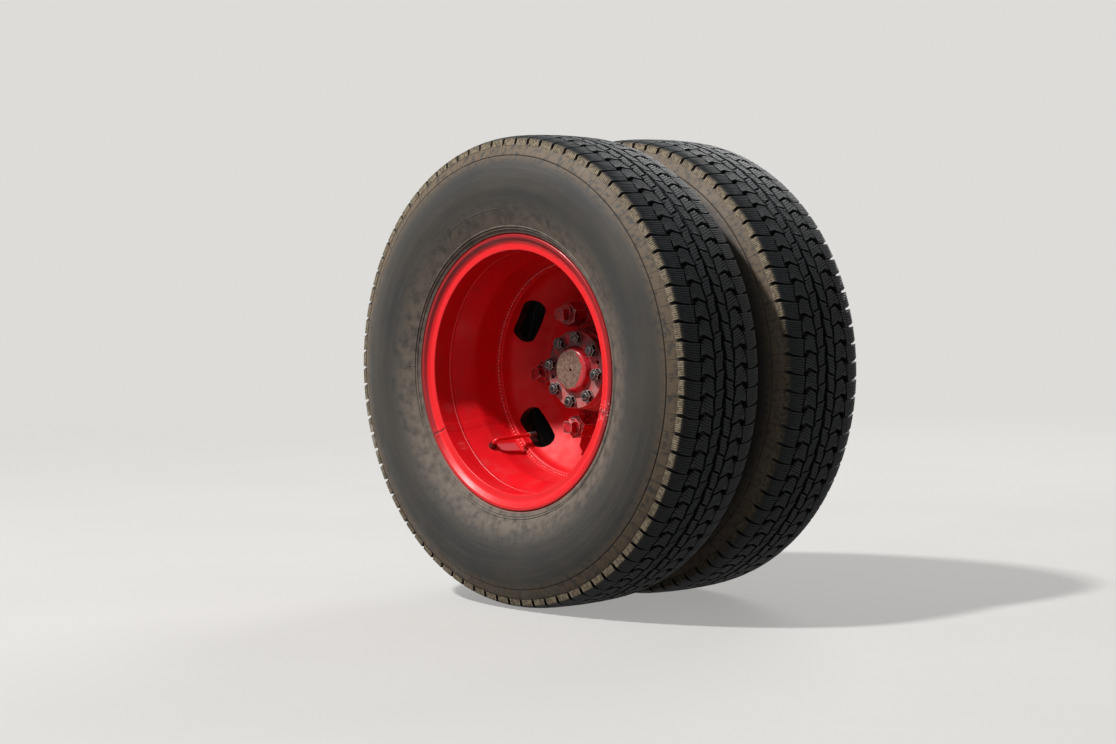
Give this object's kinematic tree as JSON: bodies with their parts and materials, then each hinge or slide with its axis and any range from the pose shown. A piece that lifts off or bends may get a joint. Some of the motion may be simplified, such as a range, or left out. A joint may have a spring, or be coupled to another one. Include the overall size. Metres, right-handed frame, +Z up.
{
  "type": "driven twin rear wheel end of a light fire engine",
  "caption": "Twin tyres on dished red steel wheels, bolted to a hub and brake drum that turn on an axle end.",
  "frame": {"origin": "centre of the inner end of the axle tube, on the axle line", "axes": "+Y along the axle, inboard; -Y is the outer face of the wheel; +X the way the vehicle drives; +Z up"},
  "size_m": [0.8079, 0.62, 0.808],
  "materials": {
    "tyre_rubber": "moulded rubber, dusty",
    "red_enamel": "gloss red enamel on pressed steel",
    "worn_red_enamel": "worn red enamel over forged steel",
    "bare_nut_steel": "dull bare steel",
    "forged_steel": "dark oily forging",
    "drum_iron": "grey iron with light rust",
    "black_chassis_paint": "satin black chassis paint",
    "zinc_steel": "zinc plated steel",
    "bearing_steel": "ground steel",
    "black_rubber": "soft rubber",
    "valve_cap_metal": "nickel plated brass"
  },
  "bodies": {
    "axle_end": {"spindle": "black_chassis_paint", "front_bearing": "bearing_steel", "rear_bearing": "bearing_steel", "spindle_nut": "forged_steel", "backing_plate": "black_chassis_paint", "plate_bolts": "zinc_steel", "wheel_cylinders": "drum_iron", "brake_pipe": "zinc_steel", "brake_union": "zinc_steel", "bleed_screws": "zinc_steel", "plate_plugs": "black_rubber"},
    "wheel": {"outer_tyre": "tyre_rubber", "inner_tyre": "tyre_rubber", "outer_rim": "red_enamel", "inner_rim": "red_enamel", "outer_disc": "red_enamel", "inner_disc": "red_enamel", "outer_valve": "red_enamel", "inner_valve": "red_enamel", "outer_valve_cap": "valve_cap_metal", "inner_valve_cap": "valve_cap_metal", "wheel_studs": "bare_nut_steel", "inner_wheel_nuts": "worn_red_enamel", "outer_wheel_nuts": "worn_red_enamel", "hub": "worn_red_enamel", "axle_shaft": "worn_red_enamel", "axle_shaft_studs": "bare_nut_steel", "axle_shaft_washers": "bare_nut_steel", "axle_shaft_nuts": "bare_nut_steel", "brake_drum": "drum_iron"}
  },
  "joints": [
    {"name": "wheel_spin", "type": "hinge", "parent": "axle_end", "child": "wheel", "pos_m": [0, -0.33, 0], "axis": [0, 1, 0], "continuous": true}
  ]
}
